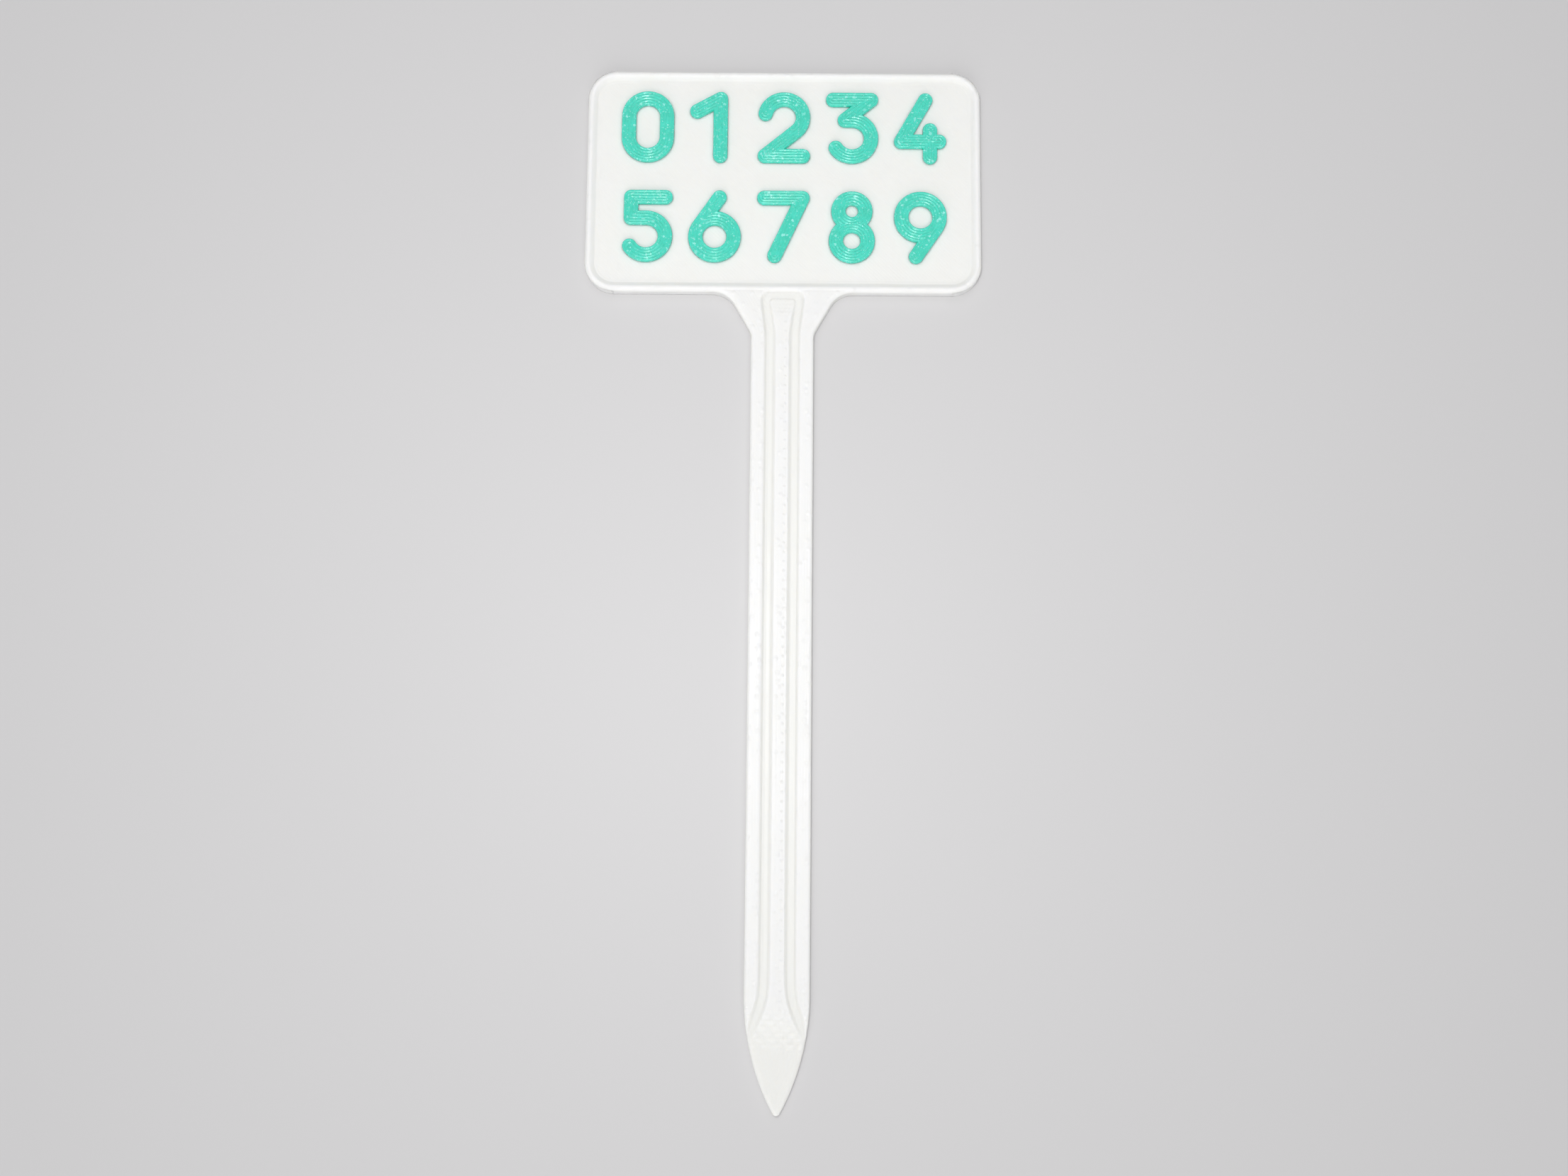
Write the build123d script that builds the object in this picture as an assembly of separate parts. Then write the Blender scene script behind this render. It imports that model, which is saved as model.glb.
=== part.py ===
from build123d import *
import os
from math import acos, asin, atan2, cos, degrees, hypot, radians, sin, tan

# Plant label stake, lying on its flat back with the face up. X runs across the plate, Y along the
# stake towards the plate, and Z out of the face. The origin is on the back, under the middle of the
# overall length and width. All sizes are in millimetres, and angles are in degrees.

# Plate: a thin slab with rounded corners and a low, rounded rim along its edge. Its face, the floor
# of the channel and the face of the point are one level.
plate_width = 60.0
plate_height = 35.0
plate_corner_radius = 4.5
plate_thickness = 1.4
rim_width = 1.2
rim_height = 0.45

# Neck and stem: a flat strip, a little higher than the plate's face, that widens to meet the plate
stake_reach = 120.0
stem_width = 9.4
rib_height = 0.4
neck_width = 16.8
neck_slant = 30.0
plate_fillet_radius = 4.0
stem_fillet_radius = 3.0
edge_round = 0.4

# Channel: one hairpin groove that leaves a rib along the middle and a rail along each edge
channel_spacing = 3.7
channel_width = 1.4
channel_lip_round = 0.2
channel_head_spacing = 5.2
channel_head_drop = 0.5
channel_bend_radius = 0.4
channel_flare = 20.0
rib_ramp_length = 3.5
rib_nose = 0.1

# Point: the channel's legs flare out through its edges, and rib and rails sweep down to its flat face
point_length = 16.5
point_radius = 0.6
blade_length = 9.0
ramp_length = 6.5

# Digits: raised pieces in two rows, each let into a shallow pocket in the plate
digit_stroke = 2.2
digit_proud = 0.6
digit_edge_round = 0.25
digit_gap = 2.4
row_gap = 4.5
side_margin = 5.2
top_margin = 3.3
bottom_margin = 4.6
pocket_depth = 0.4
pocket_clearance = 0.05

# Forms of the digits' centrelines: shares of their own width or height, and angles
one_stem = 0.62
one_flag_drop = 0.22
bowl_share = 0.32
bowl_turn = 238.0
two_start = 168.0
four_apex = 0.64
four_bar = 0.27
four_stem = 0.76
four_stem_top = 0.47
five_back = 0.1
six_lean = 146.0
seven_foot = 0.28
eight_top_share = 0.46
eight_waist = 1.1

# Places that follow from the sizes above
tip_y = -(stake_reach + plate_height) / 2
plate_low_y = tip_y + stake_reach
plate_mid_y = plate_low_y + plate_height / 2
shoulder_y = tip_y + point_length
blade_y = tip_y + blade_length
ramp_y = blade_y + ramp_length
stem_half = stem_width / 2
neck_half = neck_width / 2
neck_low_y = plate_low_y - (neck_half - stem_half) / tan(radians(neck_slant))
stem_thickness = plate_thickness + rib_height
channel_head_y = plate_low_y - channel_head_drop
channel_leg_x = channel_spacing / 2
channel_head_x = channel_head_spacing / 2
channel_exit_x = channel_leg_x + (shoulder_y - blade_y) * tan(radians(channel_flare))
pocket_floor = plate_thickness - pocket_depth
above_all = stem_thickness + plate_thickness + rim_height


def stake_outline():
    """Plan of the neck, stem and ogive point, from under the rim to the tip."""
    tuck_y = plate_low_y + rim_width / 2
    flare_x = neck_half + plate_fillet_radius * tan(radians(90 - neck_slant) / 2)
    straight_y = neck_low_y - stem_fillet_radius * tan(radians(neck_slant) / 2)
    plate_fillet = JernArc((flare_x, plate_low_y), (-1, 0), plate_fillet_radius, 90 - neck_slant)
    stem_fillet = JernArc((stem_half, straight_y), (0, 1), stem_fillet_radius, -neck_slant)
    rise = point_length - point_radius
    ogive_radius = (rise**2 / (stem_half - point_radius) + stem_half + point_radius) / 2
    swing = degrees(asin(rise / (ogive_radius - point_radius)))
    half = Curve() + [
        Line((0, tuck_y), (flare_x, tuck_y)),
        Line((flare_x, tuck_y), (flare_x, plate_low_y)),
        plate_fillet,
        Line(plate_fillet @ 1, stem_fillet @ 1),
        stem_fillet,
        Line((stem_half, straight_y), (stem_half, shoulder_y)),
        CenterArc((stem_half - ogive_radius, shoulder_y), ogive_radius, 0, -swing),
        CenterArc((0, tip_y + point_radius), point_radius, -swing, swing - 90),
    ]
    return make_face(half.edges() + mirror(half, Plane.YZ).edges())


def ramp_cut():
    """What comes off the top of the point: an S-curve of two tangent arcs, then the flat blade."""
    past_y = tip_y - point_length
    middle = ((ramp_y + blade_y) / 2, (stem_thickness + plate_thickness) / 2)
    crown = TangentArc((ramp_y, stem_thickness), middle, tangent=(-1, 0))
    root = TangentArc((blade_y, plate_thickness), middle, tangent=(1, 0))
    cap = Polyline(
        (blade_y, plate_thickness),
        (past_y, plate_thickness),
        (past_y, above_all),
        (ramp_y, above_all),
        (ramp_y, stem_thickness),
    )
    side = make_face([crown, root, *cap.edges()])
    return extrude(Plane.YZ * side, stem_width, both=True)


def channel_section():
    """Section of the channel: a flat floor, upright walls and a round lip on each side."""
    wall_x = channel_width / 2
    lip_x = wall_x + channel_lip_round
    lip_z = stem_thickness - channel_lip_round
    half = Curve() + [
        Line((0, above_all), (lip_x, above_all)),
        Line((lip_x, above_all), (lip_x, stem_thickness)),
        CenterArc((lip_x, lip_z), channel_lip_round, 90, 90),
        Line((wall_x, lip_z), (wall_x, plate_thickness)),
        Line((wall_x, plate_thickness), (0, plate_thickness)),
    ]
    return make_face(half.edges() + mirror(half, Plane.YZ).edges())


def channel():
    """Hairpin groove: in through one edge of the point, up one side of the rib, across below the
    plate, down the other side and out through the other edge."""
    bend = channel_width / 2 + channel_bend_radius
    turn = stem_fillet_radius
    path = FilletPolyline(
        (channel_exit_x, blade_y),
        (channel_leg_x, shoulder_y),
        (channel_leg_x, neck_low_y),
        (channel_head_x, channel_head_y),
        (-channel_head_x, channel_head_y),
        (-channel_leg_x, neck_low_y),
        (-channel_leg_x, shoulder_y),
        (-channel_exit_x, blade_y),
        radius=(turn, turn, bend, bend, turn, turn),
    )
    start = Plane(path @ 0, x_dir=(path % 0).cross(Vector(0, 0, 1)), z_dir=-(path % 0))
    return sweep(start * channel_section(), path=path)


def rib_ramp_cut():
    """What comes off the head of the rib, between the channel's two legs, so that it ramps up."""
    nose_z = plate_thickness + rib_nose
    side = Polyline(
        (channel_head_y, nose_z),
        (channel_head_y - rib_ramp_length, stem_thickness),
        (channel_head_y - rib_ramp_length, above_all),
        (channel_head_y, above_all),
        close=True,
    )
    plan = Polyline(
        (channel_head_x, channel_head_y),
        (-channel_head_x, channel_head_y),
        (-channel_leg_x, neck_low_y),
        (channel_leg_x, neck_low_y),
        close=True,
    )
    slope = extrude(Plane.YZ * make_face(side.edges()), channel_head_spacing, both=True)
    return slope & extrude(make_face(plan.edges()), above_all)


def stem():
    """Neck, ribbed stem and point, with round upper edges."""
    strip = extrude(stake_outline(), stem_thickness) - ramp_cut()
    outline_edges = strip.edges().filter_by(Axis.X, reverse=True).filter_by(Axis.Z, reverse=True)
    below_plate = outline_edges.filter_by_position(Axis.Y, tip_y - point_length, plate_low_y)
    upper_edges = below_plate.filter_by_position(Axis.Z, 0, above_all, inclusive=(False, True))
    strip = fillet(upper_edges, edge_round)
    return strip - channel() - rib_ramp_cut()


def rim():
    """Low bead along the plate's edge: an arc from foot to foot, level with the plate's face."""
    half = rim_width / 2
    crest = ThreePointArc((-half, 0), (0, rim_height), (half, 0))
    section = make_face([crest, mirror(crest, Plane.XZ)])
    ring = RectangleRounded(
        plate_width - rim_width, plate_height - rim_width, plate_corner_radius - rim_width / 2
    )
    path = (Pos(0, plate_mid_y, plate_thickness) * ring).face().outer_wire()
    start = Plane(path @ 0, x_dir=(path % 0).cross(Vector(0, 0, 1)), z_dir=path % 0)
    return sweep(start * section, path=path)


def stake_body():
    """White body: plate, rim, neck, ribbed stem and point, printed as one piece."""
    plan = Pos(0, plate_mid_y) * RectangleRounded(plate_width, plate_height, plate_corner_radius)
    return extrude(plan, plate_thickness) + rim() + stem()


def stroke(path, width):
    """Band of one width along an open path, with round ends."""
    return make_face(path.offset_2d(width / 2).edges())


def bowl(w, h):
    """Round lower part of a three or a five, from its top to its free end at the left."""
    radius = bowl_share * h
    return CenterArc((w - radius, radius), radius, 90, -bowl_turn)


def zero(w, h, width):
    """Ring with straight sides."""
    outer = SlotOverall(h + width, w + width, rotation=90)
    inner = SlotOverall(h - width, w - width, rotation=90)
    return Pos(w / 2, h / 2) * (outer - inner)


def one(w, h, width):
    """Upright with a slanted flag."""
    x = one_stem * w
    return stroke(Polyline((0, h - one_flag_drop * h), (x, h), (x, 0)), width)


def two(w, h, width):
    """Round top that runs straight down to the left corner, and a base."""
    radius = w / 2
    centre_y = h - radius
    reach = hypot(radius, centre_y)
    touch = degrees(atan2(-centre_y, -radius) + acos(radius / reach))
    arc = CenterArc((radius, centre_y), radius, two_start, touch - two_start)
    tail = Polyline(arc @ 1, (0, 0), (w, 0))
    return stroke(Wire([arc, *tail.edges()]), width)


def three(w, h, width):
    """Flat top, a slanted back stroke and a round bowl."""
    lower = bowl(w, h)
    back_x = (lower @ 0).X - width / 2
    top = Polyline((0, h), (w, h), (back_x, (lower @ 0).Y), lower @ 0)
    return stroke(Wire([*top.edges(), lower]), width)


def four(w, h, width):
    """Slanted stroke with a bar, and a short upright across the bar."""
    bar_y = four_bar * h
    frame = stroke(Polyline((four_apex * w, h), (0, bar_y), (w, bar_y)), width)
    upright = Pos(four_stem * w, four_stem_top * h / 2) * SlotCenterToCenter(
        four_stem_top * h, width, rotation=90
    )
    return frame + upright


def five(w, h, width):
    """Flat top, a straight back and a round bowl."""
    lower = bowl(w, h)
    back_x = five_back * w
    top = Polyline((w, h), (back_x, h), (back_x, (lower @ 0).Y), lower @ 0)
    return stroke(Wire([*top.edges(), lower]), width)


def six(w, h, width):
    """Ring with a straight stroke that leaves its left side as a tangent."""
    ring = w / 2
    outer = ring + width / 2
    inner = ring - width / 2
    lean = radians(six_lean)
    away = Vector(cos(lean), sin(lean))
    along = Vector(sin(lean), -cos(lean))
    centre = Vector(ring, ring)
    run = (h - centre.Y - ring * away.Y) / along.Y
    crotch = six_lean - degrees(acos(inner / outer))
    tail_end = centre + away * ring + along * run
    round_part = CenterArc(centre, outer, six_lean, 360 + crotch - six_lean)
    cap = CenterArc(tail_end, width / 2, six_lean, -180)
    sides = [Line(round_part @ 0, cap @ 0), Line(cap @ 1, round_part @ 1)]
    return make_face([round_part, cap, *sides]) - Pos(centre) * Circle(inner)


def seven(w, h, width):
    """Flat top and one slanted stroke."""
    return stroke(Polyline((0, h), (w, h), (seven_foot * w, 0)), width)


def eight(w, h, width):
    """Two rings, one on the other, that share a waist a little wider than the stroke."""
    rings = (h - (eight_waist - 1) * width) / 2
    upper = eight_top_share * rings
    lower = rings - upper
    places = (Pos(w / 2, lower), Pos(w / 2, h - upper))
    outer = places[0] * Circle(lower + width / 2) + places[1] * Circle(upper + width / 2)
    return outer - places[0] * Circle(lower - width / 2) - places[1] * Circle(upper - width / 2)


def nine(w, h, width):
    """Six turned half round."""
    return Pos(w, h) * Rot(0, 0, 180) * six(w, h, width)


rows = ((zero, one, two, three, four), (five, six, seven, eight, nine))
columns = len(rows[0])
digit_width = (plate_width - 2 * side_margin - (columns - 1) * digit_gap) / columns
digit_height = (plate_height - top_margin - bottom_margin - (len(rows) - 1) * row_gap) / len(rows)
line_width = digit_width - digit_stroke
line_height = digit_height - digit_stroke
first_x = -plate_width / 2 + side_margin + digit_stroke / 2
first_y = plate_low_y + plate_height - top_margin - digit_height + digit_stroke / 2

body = stake_body()
digits = {}
for row, shapes in enumerate(rows):
    for column, shape in enumerate(shapes):
        x = first_x + column * (digit_width + digit_gap)
        y = first_y - row * (digit_height + row_gap)
        seat = Pos(x, y, pocket_floor)
        pocket = shape(line_width, line_height, digit_stroke + 2 * pocket_clearance)
        body -= extrude(seat * pocket, above_all)
        digit = extrude(seat * shape(line_width, line_height, digit_stroke), pocket_depth + digit_proud)
        crown = digit.faces().sort_by(Axis.Z)[-1]
        digits["digit_" + shape.__name__] = fillet(crown.edges(), digit_edge_round)

os.makedirs("parts", exist_ok=True)
export_step(body, "parts/stake_body.step")
for name, digit in digits.items():
    export_step(digit, f"parts/{name}.step")
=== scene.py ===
import bmesh
import bpy
import numpy as np
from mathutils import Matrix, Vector
from mathutils.geometry import delaunay_2d_cdt


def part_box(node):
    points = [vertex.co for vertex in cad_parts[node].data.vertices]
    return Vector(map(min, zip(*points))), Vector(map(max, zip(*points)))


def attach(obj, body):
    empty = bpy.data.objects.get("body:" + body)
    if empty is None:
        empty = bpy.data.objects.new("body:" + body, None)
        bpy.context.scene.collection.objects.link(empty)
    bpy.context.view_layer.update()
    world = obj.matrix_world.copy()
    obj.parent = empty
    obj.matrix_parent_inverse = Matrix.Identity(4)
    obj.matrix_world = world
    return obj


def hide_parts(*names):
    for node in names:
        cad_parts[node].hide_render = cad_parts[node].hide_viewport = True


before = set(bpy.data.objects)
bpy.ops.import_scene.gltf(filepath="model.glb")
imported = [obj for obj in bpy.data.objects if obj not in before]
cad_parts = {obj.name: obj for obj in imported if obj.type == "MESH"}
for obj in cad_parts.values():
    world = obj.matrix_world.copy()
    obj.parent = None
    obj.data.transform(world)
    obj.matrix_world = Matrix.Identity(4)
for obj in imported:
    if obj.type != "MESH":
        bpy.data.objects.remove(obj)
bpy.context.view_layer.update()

# Stake body: plate, rim, neck, ribbed stem and point, one continuous piece of white PLA.
# It is printed flat on its back, so nozzle lines follow the edges of the face, layers show on
# the walls and on every slope, and the back keeps the smooth finish of the print bed.

mm = 0.001
body_low, body_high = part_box("stake_body")

# Plate and its low rim, in millimetres like every size below. The plate's face is the base that the
# channel's floor and the point are level with.
plate_half = body_high.x / mm
plate_top_y = body_high.y / mm
plate_height = 35.0
plate_low_y = plate_top_y - plate_height
plate_mid_y = plate_top_y - plate_height / 2
corner_radius = 4.5
face_z = 1.4
rim_width = 1.2
rim_height = body_high.z / mm - face_z
rim_bend = (rim_width**2 / 4 + rim_height**2) / (2 * rim_height)
rim_foot = 1.5

# Neck and stem
stem_half = 4.7
stem_z = 1.8
edge_round = 0.4
neck_half = 8.4
plate_fillet = 4.0
stem_fillet = 3.0
neck_slant = np.radians(30.0)
neck_top_x = neck_half + plate_fillet * np.tan((np.pi / 2 - neck_slant) / 2)
neck_top_y = plate_low_y - plate_fillet
neck_low_y = plate_low_y - (neck_half - stem_half) / np.tan(neck_slant)
stem_top_x = stem_half + stem_fillet
stem_top_y = neck_low_y - stem_fillet * np.tan(neck_slant / 2)

# Point: an ogive with a rounded tip, where rib and rails come down an S-shaped ramp to the base
tip_y = body_low.y / mm
point_length = 16.5
point_radius = 0.6
shoulder_y = tip_y + point_length
ogive_rise = point_length - point_radius
ogive_radius = (ogive_rise**2 / (stem_half - point_radius) + stem_half + point_radius) / 2
ogive_swing = np.arcsin(ogive_rise / (ogive_radius - point_radius))
tip_centre_y = tip_y + point_radius
blade_length = 9.0
blade_y = tip_y + blade_length
ramp_length = 6.5
ramp_y = blade_y + ramp_length

# Hairpin channel: a leg on each side of the rib, joined below the plate, flared out at the point,
# where its walls widen and fade
leg_x = 1.85
head_x = 2.6
head_drop = 0.5
head_y = plate_low_y - head_drop
leg_flare = np.tan(np.radians(20.0))
leg_bend = 1.2
channel_half = 0.7
channel_wall = 0.5
faded_wall = 1.4
channel_bend = 1.1
rib_ramp = 3.5
rib_nose_rise = 0.1
rib_nose_z = face_z + rib_nose_rise

# Print: width of a line, height of a layer, how far in the outlines go and where the fill starts, the
# treads of a slope, and the dashes that the line ends leave on the point's ramp
line_pitch = 0.42
layer_height = 0.2
outline_inset = 2.0
field_step = 0.02
ramp_treads = 8
rib_treads = 6
riser_share = 0.8
dash_height = 0.1
dash_pitch = 1.8
dash_shift = 2.4


def arc(centre, radius, start, stop, count):
    """Points on a circle: the centre plus the radius times the cosine and sine of an angle that
    goes evenly from start to stop, in degrees."""
    turn = np.radians(np.linspace(start, stop, count))
    return np.stack([centre[0] + radius * np.cos(turn), centre[1] + radius * np.sin(turn)], axis=-1)


def along(points, shares):
    """Points at the given shares of a polyline's length."""
    steps = np.hypot(*np.diff(points, axis=0).T)
    length = np.concatenate([[0.0], np.cumsum(steps)])
    wanted = np.asarray(shares) * length[-1]
    return np.stack([np.interp(wanted, length, points[:, k]) for k in (0, 1)], axis=-1)


def smooth(share):
    """An S-curve, level at both ends: three times the square of the share less twice its cube."""
    share = np.clip(share, 0, 1)
    return share**2 * (3 - 2 * share)


def stepped(share, treads):
    """A slope as its layers print it: flat treads, each joined to the next by a smooth riser."""
    tread = np.floor(share * treads)
    return (tread + smooth((share * treads - tread - 0.5) / riser_share + 0.5)) / treads


def dashes(x, treads):
    """Bulge of the line ends on a ramp: a sine-squared hump over each tread's run, broken across the
    ramp by a cosine that is shifted from tread to tread."""
    broken = 0.5 + 0.5 * np.cos(2 * np.pi * x / dash_pitch + dash_shift * np.floor(treads))
    return dash_height * np.sin(np.pi * treads) ** 2 * broken


def plate_inset(x, y):
    """Distance inside the plate's edge, a rectangle with round corners; below zero outside it."""
    across = np.abs(x) - plate_half + corner_radius
    up = np.abs(y - plate_mid_y) - plate_height / 2 + corner_radius
    beyond = np.hypot(np.maximum(across, 0), np.maximum(up, 0))
    return corner_radius - beyond - np.minimum(np.maximum(across, up), 0)


def stem_inset(x, y):
    """Distance inside the edge of the neck, stem or point: from the circle of a neck fillet, the
    slant between the two, the straight stem, and below the shoulder the ogive and the tip's arc."""
    x = np.abs(x)
    fillet_at_plate = np.hypot(x - neck_top_x, y - neck_top_y) - plate_fillet
    fillet_at_stem = np.hypot(x - stem_top_x, y - stem_top_y) - stem_fillet
    out_x, out_y = np.cos(neck_slant), -np.sin(neck_slant)
    slant = (neck_top_x - x) * out_x + (neck_top_y - y) * out_y - plate_fillet
    past_plate = (x - neck_top_x) * -out_y + (y - neck_top_y) * out_x > 0
    past_stem = (x - stem_top_x) * -out_y + (y - stem_top_y) * out_x < 0
    ogive = ogive_radius - np.hypot(x + ogive_radius - stem_half, y - shoulder_y)
    tip = point_radius - np.hypot(x, y - tip_centre_y)
    return np.select(
        [past_plate, ~past_stem, y > stem_top_y, y > shoulder_y, y > tip_centre_y],
        [fillet_at_plate, slant, fillet_at_stem, stem_half - x, ogive],
        np.minimum(ogive, tip),
    )


def channel_x(y):
    """Distance of the channel's legs from the middle: steady on the stem, wider in the neck, and
    bending out below the shoulder along a hyperbola until they leave through the point's edges."""
    upper_x = np.interp(y, [neck_low_y, head_y], [leg_x, head_x])
    below = shoulder_y - np.maximum(y, blade_y)
    return upper_x + leg_flare * (below + np.hypot(below, leg_bend)) / 2


def wall_width(y):
    """Width of the channel's walls: steady on the stem, and wider down the point's ramp, where the
    channel fades."""
    return np.interp(y, [blade_y, ramp_y], [faded_wall, channel_wall])


def stem_height(x, y):
    """Height of the neck, stem and point: the lowest of the top with its rounded edge, the channel
    and the ramp at the head of the rib. The top is level, then an S-curve of treads with dashes on
    them, then the base. The channel is a flat floor and an S-shaped wall, by the distance from the
    hairpin's line."""
    slope = np.clip((y - blade_y) / ramp_length, 0, 1)
    share = stepped(slope, ramp_treads)
    curve = np.where(share < 0.5, 2 * share**2, 1 - 2 * (1 - share) ** 2)
    top = face_z + (stem_z - face_z) * curve + dashes(x, slope * ramp_treads)
    fall = edge_round - np.clip(stem_inset(x, y), 0, edge_round)
    top = top - edge_round + np.sqrt(edge_round**2 - fall**2)
    across = np.abs(x) - channel_x(y) + channel_bend
    up = y - head_y + channel_bend
    bent = np.hypot(np.maximum(across, 0), np.maximum(up, 0)) + np.minimum(np.maximum(across, up), 0)
    hairpin = bent - channel_bend
    wall = smooth((np.abs(hairpin) - channel_half) / wall_width(y) + 0.5)
    channel = face_z + (stem_z - face_z) * wall
    climb = stepped(np.clip((head_y - y) / rib_ramp, 0, 1), rib_treads)
    rib = np.where(hairpin < 0, rib_nose_z + (stem_z - rib_nose_z) * climb, stem_z)
    return np.minimum(np.minimum(top, channel), rib)


def face_height(x, y):
    """Height of the whole face: the plate, with a bead along its edge whose section is an arc up to
    its crest and an S-curve down to its inner foot, and the stem, whose neck runs in under the bead."""
    inset = plate_inset(x, y)
    off = np.minimum(np.abs(inset - rim_width / 2), rim_width / 2)
    outer = np.sqrt(rim_bend**2 - off**2) - rim_bend + rim_height
    inner = rim_height * smooth((rim_foot - inset) / (rim_foot - rim_width / 2))
    plate = face_z + np.where(inset < rim_width / 2, outer, inner)
    stem = stem_height(x, y)
    tucked = (y < plate_low_y + rim_width / 2) & (np.abs(x) < neck_top_x)
    return np.where(inset >= 0, np.where(tucked, np.maximum(plate, stem), plate), stem)


def grid_faces(rows, columns):
    """Quads of a grid of points, row after row, with the last column joined to the first."""
    index = np.arange(rows * columns).reshape(rows, columns)
    index = np.concatenate([index, index[:, :1]], axis=1)
    corners = (index[:-1, :-1], index[:-1, 1:], index[1:, 1:], index[1:, :-1])
    return np.stack(corners, axis=-1)


# Mesh: rows along the stem and round the plate, columns across them, places on the walls and the
# back, the half width that is left at the tip, and the distance within which points merge
neck_rows = 130
straight_rows = 66
shoulder_rows = 4
ramp_rows = 115
blade_rows = 42
tip_rows = 12
edge_columns = 8
rail_columns = 8
wall_columns = 9
rib_columns = 9
ledge_rows = 20
side_rows = 30
corner_rows = 26
rim_columns = 11
wall_shares = np.array([0.25, 0.5, 0.75])
back_shares = np.array([0.0, 0.5, 0.9, 1.0])
least_half = 0.0004
merge_distance = 0.001


def stem_grid():
    """Sections across the stem, from the plate to the tip. Each goes over the top from the right
    edge to the left, down the left wall, back along the flat underside and up the right wall."""
    neck = np.concatenate([
        arc((neck_top_x, neck_top_y), plate_fillet, 90, 180 - np.degrees(neck_slant), 60),
        arc((stem_top_x, stem_top_y), stem_fillet, 180 - np.degrees(neck_slant), 180, 40),
    ])
    shares = np.linspace(0, 1, neck_rows)
    neck_edge = along(neck, shares)
    neck_middle = plate_low_y + (stem_top_y - plate_low_y) * shares
    straight_y = np.linspace(stem_top_y, shoulder_y, straight_rows)[1:]
    upper_y = np.linspace(shoulder_y, ramp_y, shoulder_rows)[1:-1]
    slope_y = np.linspace(ramp_y, blade_y, ramp_rows)
    tip_top_y = tip_centre_y - point_radius * np.sin(ogive_swing)
    flat_y = np.linspace(blade_y, tip_top_y, blade_rows)[1:]
    ogive_y = np.concatenate([upper_y, slope_y, flat_y])
    ogive_x = stem_half - ogive_radius + np.sqrt(ogive_radius**2 - (ogive_y - shoulder_y) ** 2)
    tip = arc((0, tip_centre_y), point_radius, -np.degrees(ogive_swing), -90, tip_rows)[1:]
    edge_x = np.concatenate([neck_edge[:, 0], np.full(len(straight_y), stem_half), ogive_x, tip[:, 0]])
    edge_y = np.concatenate([neck_edge[:, 1], straight_y, ogive_y, tip[:, 1]])
    lower_y = np.concatenate([straight_y, ogive_y, tip[:, 1]])
    middle_y = np.concatenate([neck_middle, np.maximum(lower_y, tip_centre_y)])
    edge_x = np.maximum(edge_x, least_half)[:, None]
    shrink = np.minimum(1, edge_x / stem_half)
    rounding = edge_round * (1 - np.cos(np.linspace(0, np.pi / 2, edge_columns)))
    edge_part = edge_x - rounding * shrink
    wall = channel_half + wall_width(middle_y)[:, None] * np.linspace(0.5, -0.5, wall_columns)
    groove = np.concatenate([wall, np.zeros_like(edge_x), -wall[:, ::-1]], axis=1)
    groove_part = np.minimum(channel_x(middle_y)[:, None] + groove, edge_part[:, -1:])
    rail_share = np.linspace(0, 1, rail_columns)[1:-1]
    rail_part = edge_part[:, -1:] + (groove_part[:, :1] - edge_part[:, -1:]) * rail_share
    rib_part = groove_part[:, -1:] * np.linspace(1, 0, rib_columns)[1:]
    right = np.concatenate([edge_part, rail_part, groove_part, rib_part], axis=1)
    x = np.concatenate([right, -right[:, -2::-1]], axis=1)
    straight_x = np.where(edge_x < stem_half, 0, head_x + channel_half + channel_wall / 2)
    bent = np.clip((np.abs(x) - straight_x) / (edge_x - straight_x), 0, 1)
    y = middle_y[:, None] + bent * (edge_y - middle_y)[:, None]
    z = face_height(x, y)
    down = z[:, -1:] * wall_shares[::-1]
    up = z[:, :1] * wall_shares
    ones = np.ones(len(wall_shares))
    section_x = np.concatenate([x, x[:, -1:] * ones, x[:, ::-1], x[:, :1] * ones], axis=1)
    section_y = np.concatenate([y, y[:, -1:] * ones, y[:, ::-1], y[:, :1] * ones], axis=1)
    section_z = np.concatenate([z, down, np.zeros_like(z), up], axis=1)
    points = np.stack([section_x, section_y, section_z], axis=-1)
    return points.reshape(-1, 3), grid_faces(*points.shape[:2]).reshape(-1, 4), right[0]


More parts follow.
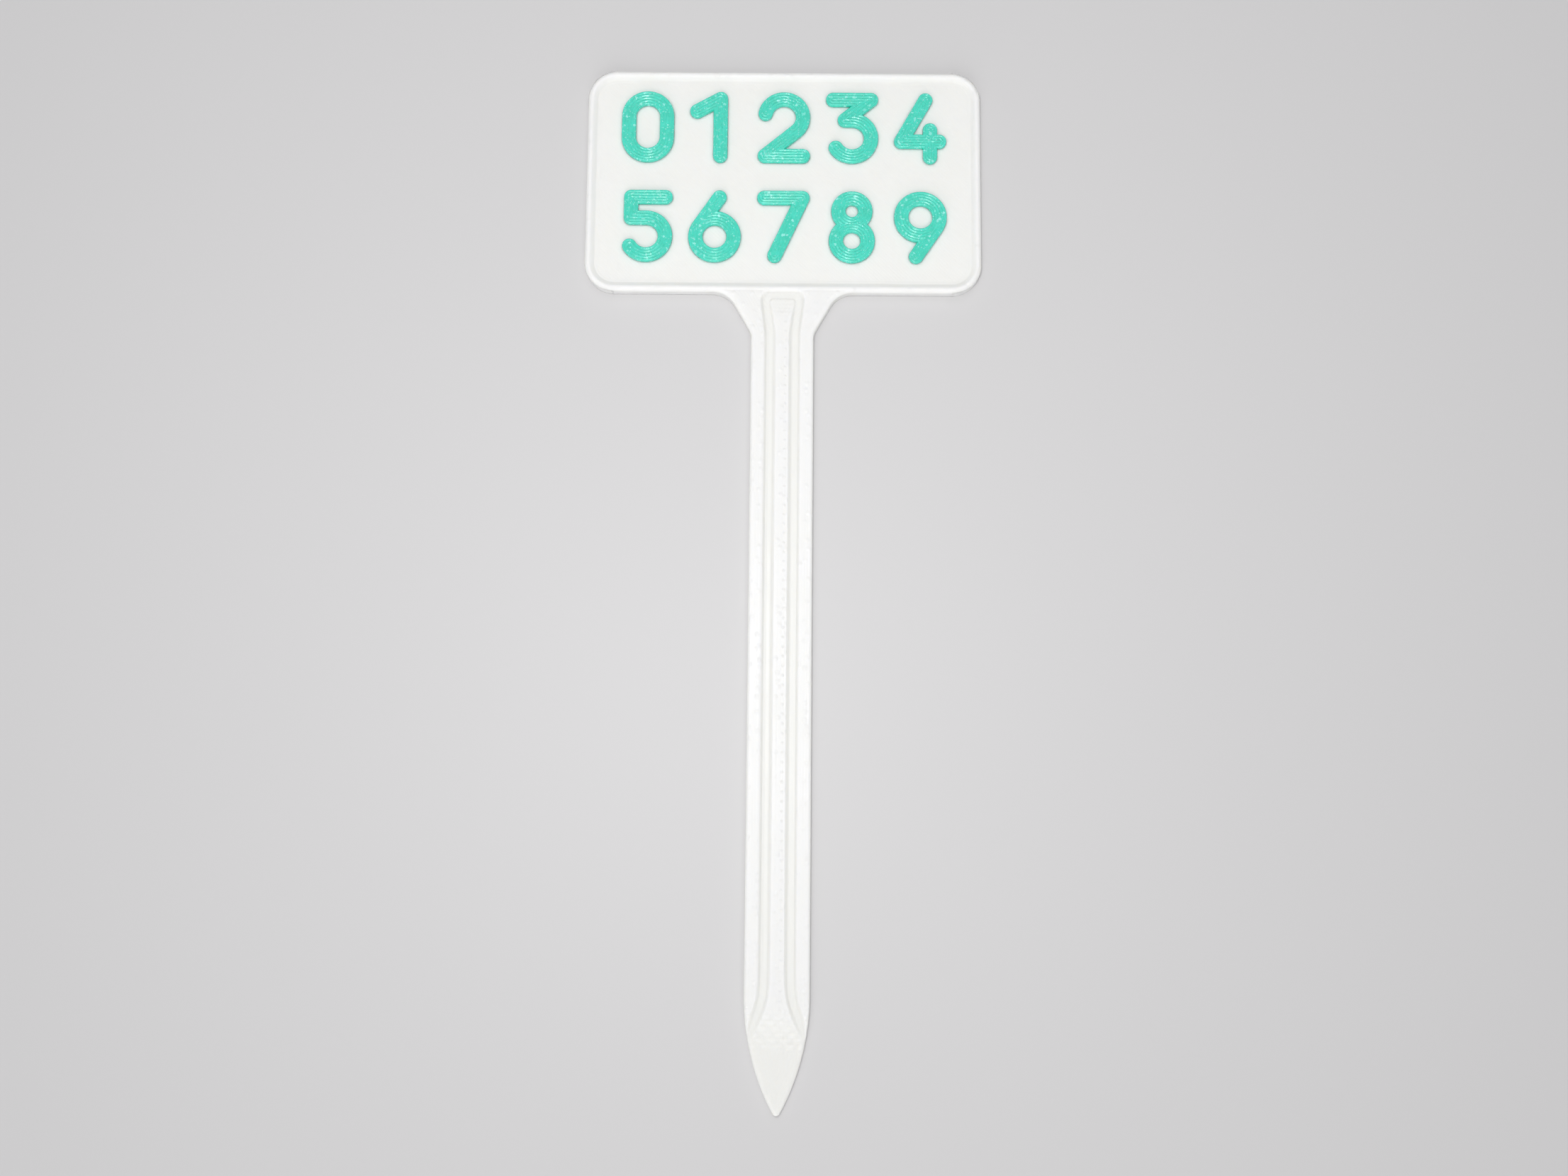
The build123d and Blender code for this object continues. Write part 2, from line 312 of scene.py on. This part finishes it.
def plate_grid(seam_x):
    """Profiles across the plate's edge, carried round it: from the middle of the back to the edge,
    up the wall, and over the rim by parallel rows to its foot. Where the neck joins there is no wall.
    Also gives the last row, the ring that the flat face starts from."""
    straight_x = plate_half - corner_radius
    straight_y = plate_height / 2 - corner_radius
    outer_x = np.linspace(straight_x, neck_top_x, ledge_rows)[:-1]
    right_x = np.concatenate([outer_x, seam_x])
    low_x = np.concatenate([-right_x, right_x[-2::-1]])
    side_y = np.linspace(-straight_y, straight_y, side_rows)[1:-1]
    right_side = np.concatenate([
        arc((straight_x, -straight_y), corner_radius, -90, 0, corner_rows)[1:],
        np.stack([np.full(len(side_y), plate_half), side_y], axis=-1),
        arc((straight_x, straight_y), corner_radius, 0, 90, corner_rows)[:-1],
    ])
    low_edge = np.stack([low_x, np.full(len(low_x), -plate_height / 2)], axis=-1)
    edge = np.concatenate([low_edge, right_side, -low_edge, -right_side])
    core = np.clip(edge, (-straight_x, -straight_y), (straight_x, straight_y))
    outer = rim_width / 2 * (1 - np.cos(np.linspace(0, np.pi / 2, rim_columns)))
    inner = np.linspace(rim_width / 2, rim_foot, rim_columns)[1:]
    inset = np.concatenate([outer, inner, [outline_inset, outline_inset + field_step]])
    top = edge[:, None] + (core - edge)[:, None] * inset[:, None] / corner_radius
    back = edge[:, None] * back_shares[:, None]
    wall = np.repeat(edge[:, None], len(wall_shares), axis=1)
    plan = np.concatenate([back, wall, top], axis=1) + (0, plate_mid_y)
    top_z = face_height(plan[:, -len(inset):, 0], plan[:, -len(inset):, 1])
    z = np.concatenate([np.zeros(back.shape[:2]), top_z[:, :1] * wall_shares, top_z], axis=1)
    points = np.concatenate([plan, z[..., None]], axis=-1).transpose(1, 0, 2)
    faces = grid_faces(*points.shape[:2])
    seam_columns = np.arange(len(outer_x), len(low_x) - len(outer_x) - 1)
    wall_rows = np.arange(back.shape[1] - 1, back.shape[1] + len(wall_shares))
    keep = np.ones(faces.shape[:2], bool)
    keep[np.ix_(wall_rows, seam_columns)] = False
    used, quads = np.unique(faces[keep], return_inverse=True)
    return points.reshape(-1, 3)[used], quads.reshape(-1, 4), points[-1, :, :2]


# Pockets for the digits, at the places of the digit parts in model.glb
zero_low, zero_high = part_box("digit_zero")
stroke = 2.2
stroke_half = stroke / 2
pocket_gap = 0.01
pocket_half = stroke_half + pocket_gap
pocket_z = zero_low.z / mm
digit_columns = 5
first_x = zero_low.x / mm + stroke_half
first_y = zero_low.y / mm + stroke_half
column_step = (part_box("digit_one")[0].x - zero_low.x) / mm
row_step = (zero_low.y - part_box("digit_six")[0].y) / mm
line_w = (zero_high.x - zero_low.x) / mm - stroke
line_h = (zero_high.y - zero_low.y) / mm - stroke
round_half = line_w / 2
bowl_r = 0.32 * line_h
bowl_sweep = 238
bowl = arc((line_w - bowl_r, bowl_r), bowl_r, 90, 90 - bowl_sweep, 60)


def path(*parts):
    """One line through points and arcs, in order."""
    return np.concatenate([np.atleast_2d(part) for part in parts])


def two_line():
    """Round top that runs down its tangent to the left corner, and a base."""
    start = 168
    centre_y = line_h - round_half
    reach = np.hypot(round_half, centre_y)
    touch = np.degrees(np.arctan2(-centre_y, -round_half) + np.arccos(round_half / reach))
    return path(arc((round_half, centre_y), round_half, start, touch, 60), (0, 0), (line_w, 0))


def six_lines():
    """Ring, and a straight stroke that leaves its left side as a tangent."""
    lean = np.radians(146)
    start = round_half + round_half * np.array([np.cos(lean), np.sin(lean)])
    run = (line_h - start[1]) / -np.cos(lean)
    end = start + run * np.array([np.sin(lean), -np.cos(lean)])
    return [arc((round_half, round_half), round_half, 0, 360, 90), path(start, end)]


def eight_lines():
    """Two rings, one on the other, that share a waist a little wider than the stroke."""
    rings = (line_h - 0.1 * stroke) / 2
    upper = 0.46 * rings
    lower = rings - upper
    upper_ring = arc((round_half, line_h - upper), upper, 0, 360, 70)
    return [arc((round_half, lower), lower, 0, 360, 80), upper_ring]


# Centrelines of the ten figures, each from the lower left corner of its own lines
figures = {
    "zero": [path(
        arc((round_half, line_h - round_half), round_half, 0, 180, 50),
        arc((round_half, round_half), round_half, 180, 360, 50),
        (line_w, line_h - round_half),
    )],
    "one": [path((0, 0.78 * line_h), (0.62 * line_w, line_h), (0.62 * line_w, 0))],
    "two": [two_line()],
    "three": [path((0, line_h), (line_w, line_h), bowl[0] - (stroke_half, 0), bowl)],
    "four": [
        path((0.64 * line_w, line_h), (0, 0.27 * line_h), (line_w, 0.27 * line_h)),
        path((0.76 * line_w, 0), (0.76 * line_w, 0.47 * line_h)),
    ],
    "five": [path((line_w, line_h), (0.1 * line_w, line_h), (0.1 * line_w, 2 * bowl_r), bowl)],
    "six": six_lines(),
    "seven": [path((0, line_h), (line_w, line_h), (0.28 * line_w, 0))],
    "eight": eight_lines(),
    "nine": [(line_w, line_h) - line for line in six_lines()],
}
plan_tolerance = 1e-6
digit_lines = {}
for place, (name, lines) in enumerate(figures.items()):
    row, column = divmod(place, digit_columns)
    corner = (first_x + column * column_step, first_y - row * row_step)
    digit_lines[name] = [line + corner for line in lines]


def distance_to(lines, points):
    """Distance from each point to the nearest segment of the lines: the point's place along each
    segment is held between its ends, and the shortest of the distances counts."""
    starts = np.concatenate([line[:-1] for line in lines])
    runs = np.concatenate([np.diff(line, axis=0) for line in lines])
    lengths = np.maximum((runs**2).sum(axis=1), 1e-12)
    to_start = points[:, None] - starts
    share = np.clip((to_start * runs).sum(axis=2) / lengths, 0, 1)
    return np.hypot(*np.moveaxis(to_start - share[..., None] * runs, 2, 0)).min(axis=1)


def stroke_rows(lines, offsets):
    """Points of a figure in plan: rows at set distances on both sides of each line, and right round
    its ends and corners. A row's point stays only if no other part of the lines is nearer to it."""
    spacing = 0.12
    closest = 0.02
    off_row = 0.002
    sharp_turn = 0.3
    around = arc((0, 0), 1, 0, 360, 49)[:-1]
    found = []
    for line in lines:
        length = np.hypot(*np.diff(line, axis=0).T).sum()
        shares = np.linspace(0, 1, int(length / spacing) + 2)
        middles = along(line, (shares[:-1] + shares[1:]) / 2)
        runs = np.diff(along(line, shares), axis=0)
        normals = runs[:, ::-1] * (-1, 1) / np.hypot(*runs.T)[:, None]
        sides = np.concatenate([normals, -normals])
        turn = np.diff(np.unwrap(np.arctan2(*np.diff(line, axis=0).T)))
        corners = np.concatenate([line[:1], line[-1:], line[1:-1][np.abs(turn) > sharp_turn]])
        starts = np.concatenate([middles, middles, np.repeat(corners, len(around), axis=0)])
        ways = np.concatenate([sides, np.tile(around, (len(corners), 1))])
        points = (starts[:, None] + ways[:, None] * offsets[:, None]).reshape(-1, 2)
        wanted = np.tile(offsets, len(starts))
        found.append(points[np.abs(distance_to(lines, points) - wanted) < off_row])
    rows = np.concatenate(found)
    first = np.unique(np.round(rows / closest), axis=0, return_index=True)[1]
    return rows[np.sort(first)]


def stroke_plan(lines, offsets):
    """A figure in plan: its rows joined by the triangles whose middles lie within the last row, and
    the edges of its outline, which are the edges of one triangle only."""
    rows = stroke_rows(lines, offsets).tolist()
    plan, _, triangles, *_ = delaunay_2d_cdt(rows, [], [], 0, plan_tolerance)
    plan = np.array(plan)
    triangles = np.array(triangles)
    triangles = triangles[distance_to(lines, plan[triangles].mean(axis=1)) < offsets[-1]]
    used, triangles = np.unique(triangles, return_inverse=True)
    triangles = triangles.reshape(-1, 3)
    edges = np.concatenate([triangles[:, [0, 1]], triangles[:, [1, 2]], triangles[:, [2, 0]]])
    count = len(used)
    shared = np.isin(edges[:, 0] * count + edges[:, 1], edges[:, 1] * count + edges[:, 0])
    return plan[used], triangles, edges[~shared]


def at_height(plan, z):
    """Points of a plan, all at one height or each at its own."""
    return np.column_stack([plan, np.broadcast_to(z, len(plan))])


def within(points, starts, ends):
    """Which points an outline holds: those whose ray to the right crosses it an odd number of times."""
    crossed = (starts[:, 1] > points[:, 1:]) != (ends[:, 1] > points[:, 1:])
    rise = np.where(crossed, ends[:, 1] - starts[:, 1], 1)
    crossing_x = starts[:, 0] + (points[:, 1:] - starts[:, 1]) * (ends[:, 0] - starts[:, 0]) / rise
    return (crossed & (points[:, :1] < crossing_x)).sum(axis=1) % 2 == 1


def plate_face(ring):
    """Flat face inside the rim: triangles between the ring and the pockets' outlines, and in each
    outline the pocket's upright walls and flat floor."""
    plans = [stroke_plan(lines, pocket_half * np.array([0, 0.5, 1])) for lines in digit_lines.values()]
    outlines = [plan[rim] for plan, _, rim in plans]
    ring_edges = np.stack([ring, np.roll(ring, -1, axis=0)], axis=1)
    ends = np.concatenate([ring_edges, *outlines]).reshape(-1, 2)
    corners, edges = np.unique(ends, axis=0, return_inverse=True)
    field, _, field_faces, *_ = delaunay_2d_cdt(
        corners.tolist(), edges.reshape(-1, 2).tolist(), [], 0, plan_tolerance
    )
    field = np.array(field)
    field_faces = np.array(field_faces)
    for outline in outlines:
        held = within(field[field_faces].mean(axis=1), outline[:, 0], outline[:, 1])
        field_faces = field_faces[~held]
    points = [at_height(field, face_z)]
    triangles = [field_faces]
    quads = []
    count = len(field)
    for plan, pocket_floor, rim in plans:
        lip = plan[rim].reshape(-1, 2)
        lip_edges = np.arange(len(lip)).reshape(-1, 2) + len(plan)
        points += [at_height(plan, pocket_z), at_height(lip, face_z)]
        triangles.append(pocket_floor + count)
        quads.append(np.concatenate([rim[:, ::-1], lip_edges], axis=1) + count)
        count += len(plan) + len(lip)
    return np.concatenate(points), np.concatenate(triangles), np.concatenate(quads)


def make_piece(name, points, faces, sharp_angle):
    """A mesh object from points in millimetres: doubles merged, faces turned outwards, and smooth
    but for the edges that turn by more than the sharp angle."""
    mesh = bpy.data.meshes.new(name)
    mesh.from_pydata((points * mm).tolist(), [], faces)
    shell = bmesh.new()
    shell.from_mesh(mesh)
    bmesh.ops.remove_doubles(shell, verts=shell.verts, dist=merge_distance * mm)
    bmesh.ops.recalc_face_normals(shell, faces=shell.faces)
    shell.to_mesh(mesh)
    shell.free()
    mesh.shade_smooth()
    mesh.set_sharp_from_angle(angle=np.radians(sharp_angle))
    piece = bpy.data.objects.new(name, mesh)
    bpy.context.scene.collection.objects.link(piece)
    return piece


def vertex_points(piece):
    """The piece's vertices in millimetres, as an array."""
    flat = np.empty(len(piece.data.vertices) * 3, np.float32)
    piece.data.vertices.foreach_get("co", flat)
    return flat.reshape(-1, 3).astype(float) / mm


def set_attribute(piece, name, values):
    """Stores one number for each vertex under a name that the material reads."""
    piece.data.attributes.new(name, "FLOAT", "POINT").data.foreach_set("value", values.astype(np.float32))


stem_points, stem_quads, seam_x = stem_grid()
plate_points, plate_quads, plate_ring = plate_grid(seam_x)
face_points, face_triangles, face_quads = plate_face(plate_ring)
body_points = np.concatenate([stem_points, plate_points, face_points])
plate_start = len(stem_points)
face_start = plate_start + len(plate_points)
body_quads = np.concatenate([stem_quads, plate_quads + plate_start, face_quads + face_start])
body_faces = body_quads.tolist() + (face_triangles + face_start).tolist()
body = make_piece("white_stake", body_points, body_faces, sharp_angle=50)

# Distance across the print's lines: from the edge on the face, down the layers on a wall, and
# along the slanting fill lines in the plate's field. The other marks what stands above the base; the
# material masks its beads by it and paints shade by it, darkest on the channel's floor and the point,
# none on the rails, rib and rim, and about halfway on the wide, thin plate face.
x, y, z = vertex_points(body).T
surface_z = face_height(x, y)
on_plate = y > plate_low_y + merge_distance
edge_distance = np.where(on_plate, plate_inset(x, y), stem_inset(x, y))
fill_distance = (x + y) * np.sqrt(0.5)
in_field = on_plate & (edge_distance > outline_inset + field_step / 2)
lay = np.where(in_field, fill_distance, edge_distance - (surface_z - z) * line_pitch / layer_height)
set_attribute(body, "lay", lay)
# How much of the base's painted shade the plate's face gets
plate_painted_shade_share = 0.6
raised = np.clip((surface_z - face_z) / (stem_z - face_z), 0, 1)
set_attribute(body, "raised", np.where(on_plate, plate_painted_shade_share + (1 - plate_painted_shade_share) * raised, raised))


def linear(hex_colour):
    """Linear colour of an sRGB hex value: a channel c gives ((c + 0.055) / 1.055) to the power 2.4,
    or c / 12.92 where it is dark."""
    channels = np.array([int(hex_colour[k:k + 2], 16) for k in (1, 3, 5)]) / 255
    light = np.where(channels > 0.04045, ((channels + 0.055) / 1.055) ** 2.4, channels / 12.92)
    return (*light.tolist(), 1.0)


def add(tree, kind, inputs=None, **settings):
    """Adds a shader node with its settings, and gives each input a value or a link."""
    made = tree.nodes.new("ShaderNode" + kind)
    for name, value in settings.items():
        setattr(made, name, value)
    for socket, value in (inputs or {}).items():
        if isinstance(value, bpy.types.NodeSocket):
            tree.links.new(value, made.inputs[socket])
        else:
            made.inputs[socket].default_value = value
    return made


# Marks of the nozzle: fine lines, low beads scattered over the ridges, and dots along the rib
line_depth = 0.006
bead_height = 0.06
bead_pitch = 1.4
bead_radius = 0.36 * bead_pitch
dot_x = 0.45
dot_pitch = 1.4
dot_radius = 0.3
mottle_size = 6.0


def white_pla():
    """White PLA as it leaves the nozzle: a satin, slightly milky plastic with fine rounded lines, a
    scatter of low beads on its ridges and a row of dots along the rib. The base, the channel's floor, the
    point and, half as much, the plate's face are painted a touch greyer and warmer than the rim, the
    rails and the rib: painted shade for the light that the thin plastic lets through and for the shade in
    the channel."""
    material = bpy.data.materials.new("white_pla_printed")
    material.use_nodes = True
    tree = material.node_tree
    shader = tree.nodes["Principled BSDF"]
    place = add(tree, "TexCoord").outputs["Object"]
    lay_mm = add(tree, "Attribute", attribute_name="lay").outputs["Fac"]
    raised = add(tree, "Attribute", attribute_name="raised").outputs["Fac"]
    normal_z = add(tree, "SeparateXYZ", {0: add(tree, "NewGeometry").outputs["Normal"]}).outputs["Z"]
    off_bed = add(tree, "Math", {0: normal_z, 1: -0.5}, operation="GREATER_THAN").outputs[0]
    phase = add(tree, "Math", {0: lay_mm, 1: 2 * np.pi / line_pitch}, operation="MULTIPLY").outputs[0]
    wave = add(tree, "Math", {0: phase}, operation="COSINE").outputs[0]
    lines = add(tree, "Math", {0: wave, 1: off_bed}, operation="MULTIPLY").outputs[0]
    beads = add(tree, "TexVoronoi", {
        "Vector": place, "Scale": 1 / (bead_pitch * mm),
    }, voronoi_dimensions="2D").outputs
    dome = add(tree, "MapRange", {
        "Value": beads["Distance"],
        "From Min": 0.0, "From Max": bead_radius / bead_pitch, "To Min": 1.0, "To Max": 0.0,
    }, interpolation_type="SMOOTHSTEP").outputs[0]
    ridge = add(tree, "MapRange", {"Value": raised, "From Min": 0.75}).outputs[0]
    chance = add(tree, "SeparateColor", {0: beads["Color"]}).outputs[0]
    picked = add(tree, "MapRange", {"Value": chance, "From Min": 0.4, "From Max": 0.6}).outputs[0]
    some = add(tree, "Math", {0: dome, 1: picked}, operation="MULTIPLY").outputs[0]
    spot = add(tree, "SeparateXYZ", {0: place}).outputs
    aside = add(tree, "Math", {0: spot["X"], 1: dot_x * mm}, operation="SUBTRACT").outputs[0]
    beyond = add(tree, "Math", {0: spot["Y"], 1: dot_pitch / 2 * mm}, operation="PINGPONG").outputs[0]
    from_dot = add(tree, "CombineXYZ", {"X": aside, "Y": beyond}).outputs[0]
    dot = add(tree, "MapRange", {
        "Value": add(tree, "VectorMath", {0: from_dot}, operation="LENGTH").outputs["Value"],
        "From Min": 0.0, "From Max": dot_radius * mm, "To Min": 1.0, "To Max": 0.0,
    }, interpolation_type="SMOOTHSTEP").outputs[0]
    either = add(tree, "Math", {0: some, 1: dot}, operation="MAXIMUM").outputs[0]
    bead = add(tree, "Math", {0: either, 1: ridge}, operation="MULTIPLY").outputs[0]
    mottle = add(tree, "TexNoise", {
        "Vector": place, "Scale": 1 / (mottle_size * mm), "Detail": 2.0,
    }).outputs["Fac"]
    line_bump = add(tree, "Bump", {"Height": lines, "Distance": line_depth * mm}).outputs[0]
    bead_bump = add(tree, "Bump", {
        "Height": bead, "Distance": bead_height * mm, "Normal": line_bump,
    }).outputs[0]
    # Painted shade: the colour goes from greyer and warmer on low, thin parts to whiter on raised ones
    painted_recess_shade = add(tree, "Mix", {
        "Factor": raised, 6: linear("#F2F2EF"), 7: linear("#F9F9F6"),
    }, data_type="RGBA").outputs[2]
    cloud = add(tree, "MapRange", {
        "Value": mottle, "From Min": 0.3, "From Max": 0.7, "To Min": 0.0, "To Max": 0.25,
    }).outputs[0]
    colour = add(tree, "Mix", {
        "Factor": cloud, 6: painted_recess_shade, 7: linear("#F1F1ED"),
    }, data_type="RGBA").outputs[2]
    satin = add(tree, "MapRange", {
        "Value": mottle, "From Min": 0.3, "From Max": 0.7, "To Min": 0.36, "To Max": 0.44,
    }).outputs[0]
    tree.links.new(colour, shader.inputs["Base Color"])
    tree.links.new(satin, shader.inputs["Roughness"])
    tree.links.new(bead_bump, shader.inputs["Normal"])
    shader.inputs["IOR"].default_value = 1.46
    shader.inputs["Subsurface Weight"].default_value = 1.0
    shader.inputs["Subsurface Radius"].default_value = (1.0, 0.98, 0.94)
    shader.inputs["Subsurface Scale"].default_value = 0.6 * mm
    return material


body.data.materials.append(white_pla())
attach(body, "root")
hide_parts("stake_body")

# Digits: ten raised figures in glossy sea-green PLA with glitter in it, printed into shallow
# pockets of the plate. The nozzle follows each stroke, so its lines run along the figure.

digit_top_z = zero_high.z / mm
digit_round = 0.25
digit_lines_across = 5
digit_ridge = 0.08
flake_size = 0.16
large_flake = 0.34
flake_lean = 0.5
depth_size = 1.2


def digit_shell(lines):
    """A closed digit: its plan raised to a top with a rounded edge and a low ridge for each nozzle
    line, with upright walls and a flat underside."""
    rounding = stroke_half - digit_round + digit_round * np.sin(np.linspace(0, np.pi / 2, 7))[1:]
    offsets = np.concatenate([np.linspace(0, stroke_half - digit_round, 17), rounding])
    plan, triangles, rim = stroke_plan(lines, offsets)
    off = distance_to(lines, plan)
    fall = np.clip(off - stroke_half + digit_round, 0, digit_round)
    ridge = digit_ridge * np.sin(np.pi * off * digit_lines_across / stroke) ** 2 * (fall == 0)
    top = digit_top_z - digit_round + np.sqrt(digit_round**2 - fall**2) - ridge
    points = np.concatenate([at_height(plan, top), at_height(plan, pocket_z)])
    count = len(plan)
    walls = np.concatenate([rim[:, ::-1], rim + count], axis=1)
    return points, triangles.tolist() + (triangles[:, ::-1] + count).tolist() + walls.tolist()


def green_pla():
    """Sea-green PLA with glitter: a clear, glossy plastic full of tiny flat flakes, each tilted its
    own way, so that it sparkles where the light runs along the strokes. Pale specks in its colour are
    partly the flakes' own tone and partly painted sparkle."""
    material = bpy.data.materials.new("green_glitter_pla_printed")
    material.use_nodes = True
    tree = material.node_tree
    shader = tree.nodes["Principled BSDF"]
    place = add(tree, "TexCoord").outputs["Object"]
    flakes = add(tree, "TexVoronoi", {"Vector": place, "Scale": 1 / (flake_size * mm)}).outputs["Color"]
    tilt = add(tree, "VectorMath", {0: flakes, 1: (0.5, 0.5, 0.5)}, operation="SUBTRACT").outputs[0]
    lean = add(tree, "VectorMath", {0: tilt, "Scale": flake_lean}, operation="SCALE").outputs[0]
    normal = add(tree, "NewGeometry").outputs["Normal"]
    leaning = add(tree, "VectorMath", {0: normal, 1: lean}, operation="ADD").outputs[0]
    flake_normal = add(tree, "VectorMath", {0: leaning}, operation="NORMALIZE").outputs[0]
    # Pale specks in the base colour: partly the glitter's own pale flakes, partly painted sparkle that
    # shows under any light
    chance = add(tree, "SeparateColor", {0: flakes}).outputs[0]
    fine = add(tree, "MapRange", {"Value": chance, "From Min": 0.93, "From Max": 1.0}).outputs[0]
    large = add(tree, "TexVoronoi", {"Vector": place, "Scale": 1 / (large_flake * mm)}).outputs["Color"]
    luck = add(tree, "SeparateColor", {0: large}).outputs[1]
    coarse = add(tree, "MapRange", {"Value": luck, "From Min": 0.95, "From Max": 0.99}).outputs[0]
    fleck_and_glint = add(tree, "Math", {0: fine, 1: coarse}, operation="MAXIMUM").outputs[0]
    depth = add(tree, "TexNoise", {
        "Vector": place, "Scale": 1 / (depth_size * mm), "Detail": 4.0,
    }).outputs["Fac"]
    plastic = add(tree, "Mix", {
        "Factor": depth, 6: linear("#10CDB0"), 7: linear("#28E4CE"),
    }, data_type="RGBA").outputs[2]
    colour = add(tree, "Mix", {
        "Factor": fleck_and_glint, 6: plastic, 7: linear("#8EF0E4"),
    }, data_type="RGBA").outputs[2]
    tree.links.new(colour, shader.inputs["Base Color"])
    tree.links.new(flake_normal, shader.inputs["Normal"])
    shader.inputs["Roughness"].default_value = 0.2
    shader.inputs["IOR"].default_value = 1.46
    shader.inputs["Coat Weight"].default_value = 1.0
    shader.inputs["Coat IOR"].default_value = 1.5
    shader.inputs["Coat Roughness"].default_value = 0.18
    shader.inputs["Subsurface Weight"].default_value = 0.3
    shader.inputs["Subsurface Radius"].default_value = (0.4, 1.0, 0.8)
    shader.inputs["Subsurface Scale"].default_value = 0.5 * mm
    return material


green = green_pla()
for name, lines in digit_lines.items():
    points, faces = digit_shell(lines)
    digit = make_piece("green_" + name, points, faces, sharp_angle=60)
    digit.data.materials.append(green)
    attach(digit, "root")
    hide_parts("digit_" + name)

# Floor: a plain pale vinyl top that the stake lies on, wide enough to fill every view. Far from the
# stake it runs into the pale surround, as a studio's backdrop does, for the lens and in reflections.

floor_half = 3.0
sweep_start = 0.18
sweep_end = 0.8
backdrop = 0.8


def seen_directly(tree):
    """One for rays from the lens, also by a reflection or through glass, and zero for the rest."""
    rays = add(tree, "LightPath").outputs
    mirrored = add(tree, "Math", {
        0: rays["Is Glossy Ray"], 1: rays["Is Transmission Ray"],
    }, operation="MAXIMUM").outputs[0]
    return add(tree, "Math", {0: rays["Is Camera Ray"], 1: mirrored}, operation="MAXIMUM").outputs[0]


floor_mesh = bpy.data.meshes.new("floor")
floor_corners = [(-1, -1, 0), (1, -1, 0), (1, 1, 0), (-1, 1, 0)]
floor_mesh.from_pydata((np.array(floor_corners) * floor_half).tolist(), [], [(0, 1, 2, 3)])
floor = bpy.data.objects.new("floor", floor_mesh)
bpy.context.scene.collection.objects.link(floor)
floor_vinyl = bpy.data.materials.new("pale_grey_vinyl")
floor_vinyl.use_nodes = True
floor_tree = floor_vinyl.node_tree
floor_shader = floor_tree.nodes["Principled BSDF"]
floor_shader.inputs["Base Color"].default_value = linear("#D5D4D5")
floor_shader.inputs["Roughness"].default_value = 0.5
from_stake = add(floor_tree, "VectorMath", {
    0: add(floor_tree, "TexCoord").outputs["Object"],
}, operation="LENGTH").outputs["Value"]
far = add(floor_tree, "MapRange", {
    "Value": from_stake, "From Min": sweep_start, "From Max": sweep_end,
}, interpolation_type="SMOOTHSTEP").outputs[0]
faded = add(floor_tree, "Math", {0: far, 1: seen_directly(floor_tree)}, operation="MULTIPLY").outputs[0]
sweep = add(floor_tree, "Emission", {"Color": linear("#FFFFFF"), "Strength": backdrop}).outputs[0]
blend = add(floor_tree, "MixShader", {0: faded, 1: floor_shader.outputs[0], 2: sweep}).outputs[0]
floor_tree.links.new(blend, floor_tree.nodes["Material Output"].inputs["Surface"])
floor_mesh.materials.append(floor_vinyl)

# Light: a broad soft box overhead, a wide fill from the front that brightens the lower walls, a small
# round lamp by the lens that puts a shine on the stem, and an even surround that looks pale to the
# lens and in reflections.


def add_lamp(name, shape, size, watts, place):
    """An area lamp that faces the origin."""
    data = bpy.data.lights.new(name, "AREA")
    data.shape = shape
    data.size = size
    data.energy = watts
    lamp = bpy.data.objects.new(name, data)
    lamp.location = place
    lamp.rotation_euler = Vector(place).to_track_quat("Z", "Y").to_euler()
    bpy.context.scene.collection.objects.link(lamp)


add_lamp("soft_box", "SQUARE", 1.0, 2.7, (0, 0.3, 0.9))
add_lamp("front_fill", "SQUARE", 1.6, 11.0, (-0.2, -1.5, 0.9))
add_lamp("lens_lamp", "DISK", 0.035, 0.17, (-0.02, 0.0, 0.24))

surround_light = 0.35
world = bpy.data.worlds.new("studio")
world.use_nodes = True
bpy.context.scene.world = world
surround = world.node_tree.nodes["Background"]
glow = add(world.node_tree, "MapRange", {
    "Value": seen_directly(world.node_tree), "To Min": surround_light, "To Max": backdrop,
}).outputs[0]
world.node_tree.links.new(glow, surround.inputs["Strength"])
surround.inputs["Color"].default_value = linear("#FFFFFF")

# Camera: straight above the stake and a little towards its point, as the photograph was taken.
# Its place, turn and focal length are a fit to the stake's outline in the photograph.

photo_width = 2212
focal_pixels = 2246.07
camera_data = bpy.data.cameras.new("camera")
camera_data.sensor_width = 36
camera_data.lens = focal_pixels / photo_width * camera_data.sensor_width
camera_data.clip_start = 0.01
camera = bpy.data.objects.new("camera", camera_data)
camera.location = (0.001016, -0.034873, 0.233108)
camera.rotation_euler = np.radians([7.9517, 0.0489, 0.4605])
bpy.context.scene.collection.objects.link(camera)
bpy.context.scene.camera = camera
bpy.context.scene.view_settings.view_transform = "Standard"
